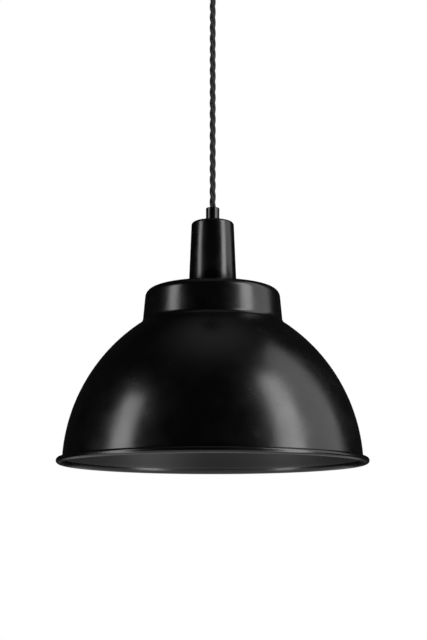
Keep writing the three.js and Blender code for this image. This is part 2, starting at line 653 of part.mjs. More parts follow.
/** The shade's face from the crown's top down to the rim, moved inward by a distance. */
function shadeFace(inward, edgeSteps, footSteps, domeSteps) {
  const draft = Math.atan2(CROWN_FOOT_RADIUS - CROWN_TOP_RADIUS, CROWN_TOP_Z - domeZ(CROWN_FOOT_RADIUS));
  const draftDegrees = THREE.MathUtils.radToDeg(draft);
  const edgeCentreR = CROWN_TOP_RADIUS - CROWN_EDGE_FILLET;
  const edgeCentreZ = CROWN_TOP_Z - CROWN_EDGE_FILLET;
  const edge = arc(edgeCentreR, edgeCentreZ, CROWN_EDGE_FILLET - inward, 90, draftDegrees, edgeSteps);
  // the foot's fillet is a circle that touches the crown's wall and rolls on the outside of the dome's arc
  const fillet = CROWN_FOOT_FILLET;
  const wallRadius = CROWN_FOOT_RADIUS - CROWN_FOOT_INSET;
  const footCentreR = wallRadius + fillet / Math.cos(draft);
  const footReach = footCentreR - DOME_ARC_CENTRE_R;
  const footCentreZ = DOME_ARC_CENTRE_Z + Math.sqrt((DOME_ARC_RADIUS + fillet) ** 2 - footReach ** 2);
  const touch = THREE.MathUtils.radToDeg(Math.atan2(footCentreZ - DOME_ARC_CENTRE_Z, footReach));
  const foot = arc(
    footCentreR,
    footCentreZ,
    fillet + inward,
    180 + draftDegrees,
    180 + touch,
    footSteps,
  );
  const dome = arc(
    DOME_ARC_CENTRE_R,
    DOME_ARC_CENTRE_Z,
    DOME_ARC_RADIUS - inward,
    touch,
    domeAngle(RIM_LIP, inward),
    domeSteps,
  );
  return [[SHADE_HOLE_RADIUS, CROWN_TOP_Z - inward], ...edge, ...foot, ...dome.slice(1)];
}

const SHADE_SEGMENTS = 56;
const OUTSIDE_STEPS = [4, 2, 9]; // steps around the crown's edge, its foot and the dome
const INSIDE_STEPS = [3, 2, 7];
const BEAD_STEPS = 7;
const BEAD_START = -125; // the bead leaves the inner face at this angle, in degrees
const BEAD_END = 115; // and meets the outer face at this one

function makeShade() {
  const outside = shadeFace(0, ...OUTSIDE_STEPS);
  const inside = shadeFace(SHEET, ...INSIDE_STEPS);
  const bead = arc(RIM_RADIUS - BEAD_RADIUS, BEAD_RADIUS, BEAD_RADIUS, BEAD_START, BEAD_END, BEAD_STEPS);
  const shade = revolve([...inside, ...bead, ...outside.reverse()], SHADE_SEGMENTS);
  place("shade", shade, satinBlack, lamp);
}

function makeShadeRing() {
  const top = CROWN_TOP_Z - SHEET - GAP;
  const bottom = top - RING_HEIGHT;
  const shelf = top - RING_FLANGE_HEIGHT;
  const ring = revolve([
    [RING_BORE_RADIUS, bottom],
    [RING_BODY_RADIUS - RING_CHAMFER, bottom],
    [RING_BODY_RADIUS, bottom + RING_CHAMFER],
    [RING_BODY_RADIUS, shelf],
    [RING_FLANGE_RADIUS, shelf],
    [RING_FLANGE_RADIUS, top],
    [RING_BORE_RADIUS, top],
  ]);
  place("shade_ring", ring, blackMoulding, lamp);
}

// ---------------------------------------------------------------- bulb
/** The envelope's face from the bottom up to the mouth of its neck, moved inward by the glass. */
function envelopeFace(inward, steps) {
  const globe = arc(0, BULB_CENTRE_Z, BULB_RADIUS - inward, -90, 28, steps);
  const neck = new THREE.SplineCurve(NECK.map(([r, z]) => new THREE.Vector2(r - inward, z)));
  const mouth = neck.getPoints(6).map((p) => [p.x, p.y]);
  globe[0][0] = 0;
  return [...globe, ...mouth.slice(1)];
}

// outlines of the bulb's small inner solids, as radius and height
const INSULATOR = [[0, 197.6], [7.7, 197.6], [7.7, 199.4], [4.8, 201.5], [0, 201.5]];
const TIP = [[0, 201.8], [4.2, 201.8], [3.4, 203], [0, 203.4]];
const STEM_FOOT = [[0, 147], [3, 148], [3, 150], [1.8, 152]];
const STEM = [...STEM_FOOT, [1.8, 168], [4, 176], [10.6, 183], [10.6, 184], [0, 184]];

function makeBulb() {
  const glass = revolve([...envelopeFace(0, 8), ...envelopeFace(BULB_GLASS, 6).reverse()], 24);
  place("bulb_glass", glass, clearGlass, lamp);
  const inner = CAP_RADIUS - CAP_WALL;
  const cap = revolve(
    [
      [inner, CAP_BOTTOM_Z],
      [CAP_RADIUS, CAP_BOTTOM_Z],
      [CAP_RADIUS, CAP_TOP_Z - CAP_SHOULDER],
      [CAP_CROWN_RADIUS, CAP_TOP_Z],
      [CAP_MOUTH_RADIUS, CAP_TOP_Z],
      [CAP_MOUTH_RADIUS, CAP_TOP_Z - CAP_WALL],
      [inner, CAP_TOP_Z - CAP_SHOULDER - CAP_WALL],
    ],
    28,
  );
  place("bulb_cap", cap, nickel, lamp);
  place("bulb_insulator", revolve(INSULATOR, 16), blackMoulding, lamp);
  place("bulb_tip", revolve(TIP, 14), nickel, lamp);
  place("bulb_stem", revolve(STEM, 12), clearGlass, lamp);
}

function makeFilaments() {
  for (let i = 0; i < FILAMENTS; i += 1) {
    const turn = (TAU * (i + 0.5)) / FILAMENTS;
    const at = (radius, z) => [radius * Math.cos(turn), radius * Math.sin(turn), z];
    const filament = wire([at(...FILAMENT_TOP), at(...FILAMENT_BOTTOM)], FILAMENT_RADIUS, 2, 6);
    place(`bulb_filament_${i + 1}`, filament, phosphor, lamp);
  }
}

makeBracket();
makeCup();
makeCeilingGrip();
makeTail(makeTerminals());
makeFlex();
makeLampGrip();
makeCover();
makeYoke();
makeCeramic();
makeContacts();
makeSkirt();
makeLampCores();
makeShade();
makeShadeRing();
makeBulb();
makeFilaments();

export default pendant;
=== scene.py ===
"""A black pendant ceiling light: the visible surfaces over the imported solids, its finishes and its studio.

Each sub-assembly is a dataclass that holds its own sizes in metres. It builds its meshes, puts them on
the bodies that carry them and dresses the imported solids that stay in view. main() runs them in order.
"""

import logging
import math
from dataclasses import dataclass, field
from enum import Enum
from typing import Callable, Iterable, Optional, Sequence

import bpy
from mathutils import Matrix, Vector


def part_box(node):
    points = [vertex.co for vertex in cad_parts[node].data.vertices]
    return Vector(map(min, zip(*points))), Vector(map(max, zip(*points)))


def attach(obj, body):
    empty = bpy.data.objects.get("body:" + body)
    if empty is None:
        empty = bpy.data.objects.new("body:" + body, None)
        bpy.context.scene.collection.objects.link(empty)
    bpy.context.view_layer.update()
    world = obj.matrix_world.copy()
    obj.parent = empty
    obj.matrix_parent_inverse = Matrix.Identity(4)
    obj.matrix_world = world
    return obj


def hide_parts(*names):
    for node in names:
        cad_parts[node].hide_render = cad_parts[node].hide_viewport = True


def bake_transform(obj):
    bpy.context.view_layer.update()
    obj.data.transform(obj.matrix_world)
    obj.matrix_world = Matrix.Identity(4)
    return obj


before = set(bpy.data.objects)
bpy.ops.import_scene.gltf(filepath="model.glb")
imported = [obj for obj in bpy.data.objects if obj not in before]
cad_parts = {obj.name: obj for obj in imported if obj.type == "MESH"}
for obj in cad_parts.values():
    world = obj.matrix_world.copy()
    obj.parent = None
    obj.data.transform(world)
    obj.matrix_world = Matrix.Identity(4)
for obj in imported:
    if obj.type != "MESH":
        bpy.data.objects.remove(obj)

log = logging.getLogger("pendant")

Outline = list[tuple[float, float]]
Shape = Callable[[float, float, float], float]
Color = tuple[float, float, float]

TAU = 2 * math.pi


class Body(str, Enum):
    """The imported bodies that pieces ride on."""

    CEILING = "ceiling_rose"
    KNUCKLE = "flex_knuckle"
    FLEX = "flex"
    HOLDER = "lampholder"
    DOME = "dome"
    RING = "ring"
    BULB = "bulb"


class Slot(str, Enum):
    """The record's material slots."""

    PAINT = "satin_black_paint"
    SHADE = "satin_black_shade"
    FABRIC = "black_fabric"
    STEEL = "zinc_steel"
    BRASS = "brass"
    NICKEL = "nickel"
    PORCELAIN = "porcelain"
    MOULDING = "black_moulding"
    PLASTIC = "pale_plastic"
    GLASS = "clear_glass"
    PHOSPHOR = "phosphor"
    BROWN = "brown_insulation"
    BLUE = "blue_insulation"
    GREEN = "green_insulation"


# ---------------------------------------------------------------------------- finishes
class Graph:
    """A material's node tree with its shader, and short ways to add to it."""

    def __init__(self, name: str) -> None:
        """Makes the material.

        Args:
            name: the material's name.
        """
        self.material = bpy.data.materials.new(name)
        self.material.use_nodes = True
        self.tree = self.material.node_tree
        self.shader = self.tree.nodes["Principled BSDF"]

    def node(self, kind: str, **inputs: object) -> bpy.types.Node:
        """Adds a node.

        Args:
            kind: the node's type without its prefix, such as "TexNoise".
            inputs: values for its sockets, with underscores for spaces.

        Returns:
            The new node.
        """
        made = self.tree.nodes.new(f"ShaderNode{kind}")
        for name, value in inputs.items():
            made.inputs[name.replace("_", " ")].default_value = value
        return made

    def link(self, source: bpy.types.NodeSocket, target: bpy.types.NodeSocket) -> None:
        """Joins two sockets.

        Args:
            source: an output.
            target: an input.
        """
        self.tree.links.new(source, target)

    def maths(self, operation: str, first: object, second: object = 0.0) -> bpy.types.NodeSocket:
        """Adds a maths node.

        Args:
            operation: what it does, such as "MULTIPLY".
            first: a number or a socket.
            second: a number or a socket.

        Returns:
            Its result.
        """
        made = self.tree.nodes.new("ShaderNodeMath")
        made.operation = operation
        for socket, value in zip(made.inputs, (first, second)):
            if isinstance(value, bpy.types.NodeSocket):
                self.link(value, socket)
            else:
                socket.default_value = value
        return made.outputs[0]

    def noise(
        self, scale: float, detail: float = 3.0, stretch: Sequence[float] = (1, 1, 1)
    ) -> bpy.types.NodeSocket:
        """A noise that lies in the object's own space.

        Args:
            scale: waves in a metre.
            detail: octaves.
            stretch: how much it is squeezed along X, Y and Z.

        Returns:
            The noise, from 0 to 1.
        """
        place = self.node("TexCoord")
        mapping = self.node("Mapping", Scale=tuple(stretch))
        self.link(place.outputs["Object"], mapping.inputs["Vector"])
        texture = self.node("TexNoise", Scale=scale, Detail=detail)
        self.link(mapping.outputs["Vector"], texture.inputs["Vector"])
        return texture.outputs["Fac"]

    def spread(self, value: bpy.types.NodeSocket, low: float, high: float) -> bpy.types.NodeSocket:
        """Maps a noise's usual range to a range of values.

        Args:
            value: the noise.
            low: the result where the noise is 0.3.
            high: the result where the noise is 0.7.

        Returns:
            The mapped value.
        """
        made = self.node("MapRange", From_Min=0.3, From_Max=0.7, To_Min=low, To_Max=high)
        self.link(value, made.inputs["Value"])
        return made.outputs["Result"]

    def tint(self, value: bpy.types.NodeSocket, dark: Color, light: Color) -> None:
        """Colours the shader between two colours.

        Args:
            value: a noise.
            dark: the colour where it is low.
            light: the colour where it is high.
        """
        ramp = self.node("ValToRGB")
        ramp.color_ramp.elements[0].position = 0.3
        ramp.color_ramp.elements[0].color = (*dark, 1)
        ramp.color_ramp.elements[1].position = 0.7
        ramp.color_ramp.elements[1].color = (*light, 1)
        self.link(value, ramp.inputs["Fac"])
        self.link(ramp.outputs["Color"], self.shader.inputs["Base Color"])

    def bump(self, height: bpy.types.NodeSocket, depth: float, strength: float = 1.0) -> None:
        """Gives the shader a bump, on top of any that it has.

        Args:
            height: from 0 to 1.
            depth: the height in metres that 1 stands for.
            strength: how much of it shows.
        """
        made = self.node("Bump", Strength=strength, Distance=depth)
        self.link(height, made.inputs["Height"])
        normal = self.shader.inputs["Normal"]
        if normal.is_linked:
            self.link(normal.links[0].from_socket, made.inputs["Normal"])
        self.link(made.outputs["Normal"], normal)


@dataclass(frozen=True)
class Finish:
    """A surface with a faint mottle of colour and gloss and a fine grain, all from noise."""

    name: str
    color: Color
    roughness: float
    metallic: float = 0.0
    mottle: float = 0.12
    gloss_drift: float = 0.04
    grain_per_metre: float = 900.0
    grain_depth: float = 0.00002

    def material(self) -> bpy.types.Material:
        """Finds the finish's material, and makes it the first time.

        Returns:
            The material.
        """
        name = f"{self.name}_finish"
        found = bpy.data.materials.get(name)
        if found:
            return found
        graph = Graph(name)
        graph.shader.inputs["Metallic"].default_value = self.metallic
        slow = graph.noise(14.0)
        dark = tuple(c * (1 - self.mottle) for c in self.color)
        light = tuple(min(1.0, c * (1 + self.mottle)) for c in self.color)
        graph.tint(slow, dark, light)
        least = self.roughness - self.gloss_drift
        most = self.roughness + self.gloss_drift
        rough = graph.spread(graph.noise(40.0), least, most)
        graph.link(rough, graph.shader.inputs["Roughness"])
        graph.bump(graph.noise(self.grain_per_metre), self.grain_depth)
        self.detail(graph)
        return graph.material

    def detail(self, graph: Graph) -> None:
        """What this kind of finish adds.

        Args:
            graph: the material's tree.
        """


@dataclass(frozen=True)
class SatinPaint(Finish):
    """Sprayed satin paint on metal: a smooth coat that flows out with a slight orange peel."""

    grain_depth: float = 0.000002
    peel_depth: float = 0.00001
    peel_per_metre: float = 220.0
    ior: float = 1.5

    def detail(self, graph: Graph) -> None:
        """Adds the orange peel.

        Args:
            graph: the material's tree.
        """
        graph.shader.inputs["IOR"].default_value = self.ior
        graph.bump(graph.noise(self.peel_per_metre, detail=1.0), self.peel_depth)


@dataclass(frozen=True)
class Braid(Finish):
    """A braided textile sleeve: yarns cross in a diamond pattern along the sleeve's own map."""

    carriers: float = 8.0
    crossings_per_metre: float = 620.0
    yarn_depth: float = 0.00022

    def detail(self, graph: Graph) -> None:
        """Adds the crossing yarns with painted shade darkening the grooves between them, and the soft edge
        light of loose fibres.

        Args:
            graph: the material's tree.
        """
        place = graph.node("UVMap")
        place.uv_map = "braid"
        split = graph.node("SeparateXYZ")
        graph.link(place.outputs["UV"], split.inputs["Vector"])
        around = graph.maths("MULTIPLY", split.outputs["X"], self.carriers * math.pi)
        along = graph.maths("MULTIPLY", split.outputs["Y"], self.crossings_per_metre * math.pi / 2)
        one = graph.maths("ABSOLUTE", graph.maths("SINE", graph.maths("ADD", around, along)))
        two = graph.maths("ABSOLUTE", graph.maths("SINE", graph.maths("SUBTRACT", around, along)))
        yarns = graph.maths("MULTIPLY", one, two)
        yarn_fuzz_and_shade = graph.maths("ADD", yarns, graph.maths("MULTIPLY", graph.noise(2600.0), 0.35))
        # painted shade: the grooves between the yarns are coloured down to 0.45 of the yarn colour; the
        # fibre fuzz varies the tone, and the same value also gives the bump
        graph.tint(yarn_fuzz_and_shade, tuple(c * 0.45 for c in self.color), self.color)
        graph.bump(yarn_fuzz_and_shade, self.yarn_depth)
        graph.shader.inputs["Sheen Weight"].default_value = 0.12
        graph.shader.inputs["Sheen Roughness"].default_value = 0.5


@dataclass(frozen=True)
class Metal(Finish):
    """Bare or plated metal with the fine lines of its tooling."""

    metallic: float = 1.0
    line_depth: float = 0.00001
    stretch: tuple[float, float, float] = (1.0, 1.0, 14.0)

    def detail(self, graph: Graph) -> None:
        """Adds the tooling lines.

        Args:
            graph: the material's tree.
        """
        graph.bump(graph.noise(700.0, 4.0, self.stretch), self.line_depth)


@dataclass(frozen=True)
class Glaze(Finish):
    """Glazed porcelain: a pale body under a clear coat with a few specks."""

    def detail(self, graph: Graph) -> None:
        """Adds the coat.

        Args:
            graph: the material's tree.
        """
        graph.shader.inputs["Coat Weight"].default_value = 0.8
        graph.shader.inputs["Coat Roughness"].default_value = 0.08


@dataclass(frozen=True)
class ClearGlass(Finish):
    """Blown clear glass with very slight waves."""

    def detail(self, graph: Graph) -> None:
        """Lets light through.

        Args:
            graph: the material's tree.
        """
        graph.shader.inputs["Transmission Weight"].default_value = 1.0
        graph.shader.inputs["IOR"].default_value = 1.5
        graph.bump(graph.noise(35.0, 1.0), 0.0002, 0.3)


BLACK: Color = (0.0007, 0.0007, 0.0007)

PAINT = SatinPaint("satin_black_paint", BLACK, 0.24)
SHADE_PAINT = SatinPaint("satin_black_shade", BLACK, 0.25)
INNER_PAINT = SatinPaint("matt_black_inside", (0.02, 0.02, 0.0205), 0.5, gloss_drift=0.03)
FABRIC = Braid("black_fabric", (0.007, 0.007, 0.007), 0.75)
STEEL = Metal("zinc_steel", (0.62, 0.63, 0.65), 0.34)
BRASS = Metal("brass", (0.72, 0.52, 0.22), 0.28)
NICKEL = Metal("nickel", (0.68, 0.66, 0.62), 0.22)
PORCELAIN = Glaze("porcelain", (0.84, 0.82, 0.77), 0.3, mottle=0.03)
MOULDING = Finish("black_moulding", (0.012, 0.012, 0.013), 0.42)
PLASTIC = Finish("pale_plastic", (0.78, 0.76, 0.69), 0.45, mottle=0.04)
GLASS = ClearGlass("clear_glass", (0.97, 0.98, 0.98), 0.02, mottle=0.0, gloss_drift=0.0, grain_depth=0.0)
PHOSPHOR = Finish("phosphor", (0.83, 0.55, 0.1), 0.65)
BROWN = Finish("brown_insulation", (0.13, 0.05, 0.02), 0.45)
BLUE = Finish("blue_insulation", (0.02, 0.08, 0.36), 0.45)
GREEN = Finish("green_insulation", (0.16, 0.4, 0.05), 0.45)


# ---------------------------------------------------------------------------- meshes
def arc(centre: tuple[float, float], radius: float, start: float, stop: float, steps: int) -> Outline:
    """Points along a circular arc.

    Args:
        centre: radius and height of its centre.
        radius: its radius.
        start: the first angle, in degrees.
        stop: the last angle, in degrees.
        steps: how many equal steps.

    Returns:
        The points, both ends included.
    """
    angles = [math.radians(start + (stop - start) * i / steps) for i in range(steps + 1)]
    return [(centre[0] + radius * math.cos(a), centre[1] + radius * math.sin(a)) for a in angles]


def make_object(
    name: str, vertices: Sequence[Vector], faces: Sequence[Sequence[int]], sharp: float
) -> bpy.types.Object:
    """Makes a smooth mesh object whose hard edges stay hard.

    Args:
        name: the object's name.
        vertices: its points in the row frame.
        faces: its faces.
        sharp: edges that turn by more than this many degrees are hard.

    Returns:
        The object, in the scene.
    """
    mesh = bpy.data.meshes.new(name)
    mesh.from_pydata(vertices, [], faces)
    mesh.validate()
    mesh.shade_smooth()
    mesh.set_sharp_from_angle(angle=math.radians(sharp))
    made = bpy.data.objects.new(name, mesh)
    bpy.context.scene.collection.objects.link(made)
    return made


def revolve(
    name: str,
    outline: Outline,
    segments: int = 160,
    shape: Optional[Shape] = None,
    sharp: float = 32.0,
    closed: bool = True,
) -> bpy.types.Object:
    """Turns an outline about the lamp's vertical axis.

    Args:
        name: the object's name.
        outline: (radius, height) points, anticlockwise, so that faces look outwards.
        segments: faces round the axis.
        shape: gives the radius from (radius, height, angle), for threads and knurls.
        sharp: the hard-edge angle in degrees.
        closed: whether the outline's last point joins its first.

    Returns:
        The object.
    """
    vertices: list[Vector] = []
    rings: list[list[int]] = []
    for radius, height in outline:
        count = 1 if radius < 1e-7 else segments
        first = len(vertices)
        for i in range(count):
            angle = TAU * i / segments
            r = shape(radius, height, angle) if shape and count > 1 else radius
            vertices.append(Vector((r * math.cos(angle), r * math.sin(angle), height)))
        rings.append(list(range(first, first + count)) * (segments if count == 1 else 1))
    faces: list[tuple[int, ...]] = []
    last = len(rings) if closed else len(rings) - 1
    for k in range(last):
        lower, upper = rings[k], rings[(k + 1) % len(rings)]
        for i in range(segments):
            j = (i + 1) % segments
            corners = list(dict.fromkeys((lower[i], lower[j], upper[j], upper[i])))
            if len(corners) > 2:
                faces.append(tuple(corners))
    return make_object(name, vertices, faces, sharp)


def sweep(
    name: str, lines: Iterable[Sequence[Vector]], radius: float, sides: int = 16, taper: int = 0
) -> bpy.types.Object:
    """Lays round tubes along lines and joins them in one mesh, with a map of turns and metres on each.

    Args:
        name: the object's name.
        lines: the centrelines.
        radius: the tubes' radius.
        sides: points round a tube.
        taper: how many points at each end round the tube off.

    Returns:
        The object, with the map "braid".
    """
    vertices: list[Vector] = []
    faces: list[tuple[int, ...]] = []
    maps: list[tuple[float, float]] = []
    for line in lines:
        base = len(vertices)
        run = 0.0
        side = Vector((1, 0, 0))
        travelled = []
        for k, point in enumerate(line):
            ahead = line[min(k + 1, len(line) - 1)] - line[max(k - 1, 0)]
            ahead.normalize()
            side = (side - ahead * side.dot(ahead)).normalized()
            up = ahead.cross(side)
            run += (point - line[k - 1]).length if k else 0.0
            travelled.append(run)
            end = min(k, len(line) - 1 - k)
            r = radius * math.sin(math.pi / 2 * min(1.0, (end + 0.35) / taper)) if taper else radius
            for i in range(sides):
                angle = TAU * i / sides
                vertices.append(point + (side * math.cos(angle) + up * math.sin(angle)) * r)
        for k in range(len(line) - 1):
            for i in range(sides):
                j = (i + 1) % sides
                low, high = base + k * sides, base + (k + 1) * sides
                faces.append((low + i, low + j, high + j, high + i))
                turns = (i / sides, (i + 1) / sides)
                heights = (travelled[k], travelled[k + 1])
                maps += [(turns[i], heights[j]) for i, j in ((0, 0), (1, 0), (1, 1), (0, 1))]
        for ring, order in ((0, -1), (len(line) - 1, 1)):
            faces.append(tuple(base + ring * sides + i for i in range(sides))[::order])
            maps += [(0.0, travelled[ring])] * sides
    mesh = bpy.data.meshes.new(name)
    mesh.from_pydata(vertices, [], faces)
    layer = mesh.uv_layers.new(name="braid")
    for corner, place in zip(layer.data, maps):
        corner.uv = place
    mesh.shade_smooth()
    mesh.set_sharp_from_angle(angle=math.radians(60))
    made = bpy.data.objects.new(name, mesh)
    bpy.context.scene.collection.objects.link(made)
    return made


def finish_piece(
    piece: bpy.types.Object, finish: Finish, slot: Slot, body: Body, *nodes: str
) -> bpy.types.Object:
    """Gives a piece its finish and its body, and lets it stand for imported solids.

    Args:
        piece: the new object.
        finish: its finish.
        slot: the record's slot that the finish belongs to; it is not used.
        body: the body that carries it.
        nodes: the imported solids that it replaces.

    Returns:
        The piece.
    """
    piece.data.materials.append(finish.material())
    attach(piece, body.value)
    if nodes:
        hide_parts(*nodes)
    log.info("made %s", piece.name)
    return piece


def dress(finish: Finish, *nodes: str) -> None:
    """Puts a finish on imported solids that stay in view.

    Args:
        finish: the finish.
        nodes: their names.
    """
    for name in nodes:
        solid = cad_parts[name]
        if not solid.material_slots:
            solid.data.materials.append(None)
        for slot in solid.material_slots:
            slot.material = finish.material()


def radius_of(node: str) -> float:
    """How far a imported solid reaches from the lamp's axis.

    Args:
        node: its name.

    Returns:
        Its radius in metres.
    """
    low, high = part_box(node)
    return max(high.x, -low.x, high.y, -low.y)


# ---------------------------------------------------------------------------- studio
@dataclass(frozen=True)
class Softbox:
    """A rectangular softbox that faces the lamp's axis, with heights that count from the rim."""

    name: str
    azimuth: float
    distance: float
    width: float
    bottom: float
    top: float
    radiance: float

    def build(self, rim: float) -> bpy.types.Object:
        """Makes the softbox's light.

        Args:
            rim: the height of the shade's rim.

        Returns:
            The light.
        """
        tall = self.top - self.bottom
        data = bpy.data.lights.new(self.name, "AREA")
        data.shape = "RECTANGLE"
        data.size = self.width
        data.size_y = tall
        data.energy = self.radiance * math.pi * self.width * tall
        light = bpy.data.objects.new(self.name, data)
        turn = math.radians(self.azimuth)
        outward = Vector((math.sin(turn), -math.cos(turn), 0))
        light.location = outward * self.distance + Vector((0, 0, rim + (self.top + self.bottom) / 2))
        light.rotation_euler = outward.to_track_quat("Z", "Y").to_euler()
        light.visible_camera = False
        bpy.context.scene.collection.objects.link(light)
        return light


@dataclass
class Studio:
    """The camera, a white surround that only the camera sees, a glow overhead, lights and a floor."""

    lens_mm: float = 73.0
    distance: float = 1.378
    below_rim: float = 0.0945
    aside: float = 0.0009
    tilt_degrees: float = 10.29
    floor_depth: float = 2.4
    floor_side: float = 9.0
    ambient: float = 0.01
    overhead: float = 0.25
    overhead_from: float = 0.7
    overhead_power: float = 4.5
    floor_light_side: float = 9.0
    floor_light_drop: float = 0.9
    floor_light_radiance: float = 0.95
    softboxes: tuple[Softbox, ...] = (
        Softbox("left_softbox", -68.0, 1.2, 0.35, -0.9, 0.9, 5.5),
        Softbox("right_softbox", 58.0, 1.2, 0.45, -0.9, 1.5, 6.5),
        Softbox("right_wing", 90.0, 1.2, 0.8, 0.0, 2.2, 1.5),
    )

    def build(self) -> None:
        """Makes the camera, the world, the lights and the floor."""
        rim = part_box("shade")[0].z
        self.camera(rim)
        self.world()
        for softbox in self.softboxes:
            softbox.build(rim)
        self.floor_light(rim - self.floor_light_drop)
        self.floor()
        scene = bpy.context.scene
        scene.view_settings.view_transform = "Standard"
        scene.view_settings.look = "None"

    def camera(self, rim: float) -> None:
        """Makes the camera, low in front of the lamp and tilted up at it.

        Args:
            rim: the height of the shade's rim.
        """
        data = bpy.data.cameras.new("camera")
        data.lens = self.lens_mm
        data.sensor_width = 36.0
        data.clip_start = 0.05
        data.clip_end = 60.0
        camera = bpy.data.objects.new("camera", data)
        camera.location = (self.aside, -self.distance, rim - self.below_rim)
        camera.rotation_euler = (math.radians(90 + self.tilt_degrees), 0, 0)
        bpy.context.scene.collection.objects.link(camera)
        bpy.context.scene.camera = camera

    def world(self) -> None:
        """Makes the surround: white behind the object, and in reflections a glow that gathers overhead."""
        world = bpy.data.worlds.new("studio")
        world.use_nodes = True
        bpy.context.scene.world = world
        nodes, links = world.node_tree.nodes, world.node_tree.links
        white = nodes["Background"]
        white.inputs["Color"].default_value = (1, 1, 1, 1)
        dim = nodes.new("ShaderNodeBackground")
        dim.inputs["Color"].default_value = (1, 1, 1, 1)
        place = nodes.new("ShaderNodeTexCoord")
        split = nodes.new("ShaderNodeSeparateXYZ")
        rise = nodes.new("ShaderNodeMapRange")
        rise.inputs["From Min"].default_value = self.overhead_from
        steep = nodes.new("ShaderNodeMath")
        steep.operation = "POWER"
        steep.inputs[1].default_value = self.overhead_power
        glow = nodes.new("ShaderNodeMath")
        glow.operation = "MULTIPLY_ADD"
        glow.inputs[1].default_value = self.overhead
        glow.inputs[2].default_value = self.ambient
        links.new(place.outputs["Generated"], split.inputs["Vector"])
        links.new(split.outputs["Z"], rise.inputs["Value"])
        links.new(rise.outputs["Result"], steep.inputs[0])
        links.new(steep.outputs["Value"], glow.inputs[0])
        links.new(glow.outputs["Value"], dim.inputs["Strength"])
        path = nodes.new("ShaderNodeLightPath")
        mix = nodes.new("ShaderNodeMixShader")
        links.new(path.outputs["Is Camera Ray"], mix.inputs["Fac"])
        links.new(dim.outputs["Background"], mix.inputs[1])
        links.new(white.outputs["Background"], mix.inputs[2])
        links.new(mix.outputs["Shader"], nodes["World Output"].inputs["Surface"])

    def floor_light(self, height: float) -> None:
        """Makes the wide light under the lamp that faces down at the floor.

        Args:
            height: its height.
        """
        data = bpy.data.lights.new("floor_light", "AREA")
        data.size = self.floor_light_side
        data.energy = self.floor_light_radiance * math.pi * self.floor_light_side**2
        light = bpy.data.objects.new("floor_light", data)
        light.location = (0, 0, height)
        light.visible_camera = False
        bpy.context.scene.collection.objects.link(light)

    def floor(self) -> None:
        """Makes the pale floor of the room, which is clear from below."""
        half = self.floor_side / 2
        square = ((-half, -half), (half, -half), (half, half), (-half, half))
        corners = [Vector((x, y, -self.floor_depth)) for x, y in square]
        floor = make_object("floor", corners, [(0, 1, 2, 3)], 30.0)
        graph = Graph("pale_floor")
        graph.tint(graph.noise(2.0), (0.74, 0.74, 0.74), (0.78, 0.78, 0.78))
        graph.shader.inputs["Roughness"].default_value = 0.8
        geometry = graph.node("NewGeometry")
        clear = graph.node("BsdfTransparent")
        mix = graph.node("MixShader")
        graph.link(geometry.outputs["Backfacing"], mix.inputs["Fac"])
        graph.link(graph.shader.outputs["BSDF"], mix.inputs[1])
        graph.link(clear.outputs["BSDF"], mix.inputs[2])
        graph.link(mix.outputs["Shader"], graph.tree.nodes["Material Output"].inputs["Surface"])
        floor.data.materials.append(graph.material)


# ---------------------------------------------------------------------------- flex
@dataclass
class Flex:
    """Three braided cores laid up in one rope, hanging taut between the two grips."""

    core_radius: float = 0.0016
    pitch: float = 0.038
    points_per_pitch: int = 26
    slack: float = 0.0003
    swing_room: float = 0.0022
    cores: int = 3

    def strands(self, low: float, high: float) -> list[list[Vector]]:
        """The cores' centrelines over a stretch of the axis, in phase wherever the stretch lies.

        Args:
            low: its lower end.
            high: its upper end.

        Returns:
            One line for each core.
        """
        reach = 2 * self.core_radius / math.sqrt(3)
        steps = max(4, math.ceil((high - low) / self.pitch * self.points_per_pitch))
        lines = []
        for core in range(self.cores):
            line = []
            for k in range(steps + 1):
                z = low + (high - low) * k / steps
                angle = TAU * (core / self.cores - z / self.pitch)
                line.append(Vector((reach * math.sin(angle), -reach * math.cos(angle), z)))
            lines.append(line)
        return lines

    def build(self) -> None:
        """Makes the hanging rope, its ends inside the grips and the knuckle at the upper grip."""
        lamp_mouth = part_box("cord_grip")[1].z
        ceiling_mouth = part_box("ceiling_grip")[0].z
        low, high = lamp_mouth + self.slack, ceiling_mouth - self.slack - self.swing_room
        rope = sweep("flex_rope", self.strands(low, high), self.core_radius)
        rope.data.materials.append(FABRIC.material())
        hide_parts("cord")
        knuckle = self.knuckle()
        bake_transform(rope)
        self.inner("flex_end", "cord_end", Body.HOLDER)
        self.inner("flex_tail", "cord_tail", Body.CEILING)

    def knuckle(self) -> bpy.types.Object:
        """The soft core of the bend at the upper grip's mouth.

        Returns:
            The piece.
        """
        low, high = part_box("cord_bend")
        centre, radius = (low.z + high.z) / 2, (high.z - low.z) / 2 * 0.82
        half_round = [(max(r, 0.0), z) for r, z in arc((0, centre), radius, -90, 90, 12)]
        ball = revolve("flex_knuckle_core", half_round, 32, closed=False)
        return finish_piece(ball, MOULDING, Slot.FABRIC, Body.KNUCKLE, "cord_bend")

    def inner(self, name: str, node: str, body: Body) -> None:
        """A stretch of the rope inside a grip.

        Args:
            name: the piece's name.
            node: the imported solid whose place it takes.
            body: the body that carries it.
        """
        low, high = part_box(node)
        piece = sweep(name, self.strands(low.z, high.z), self.core_radius)
        finish_piece(piece, FABRIC, Slot.FABRIC, body, node)


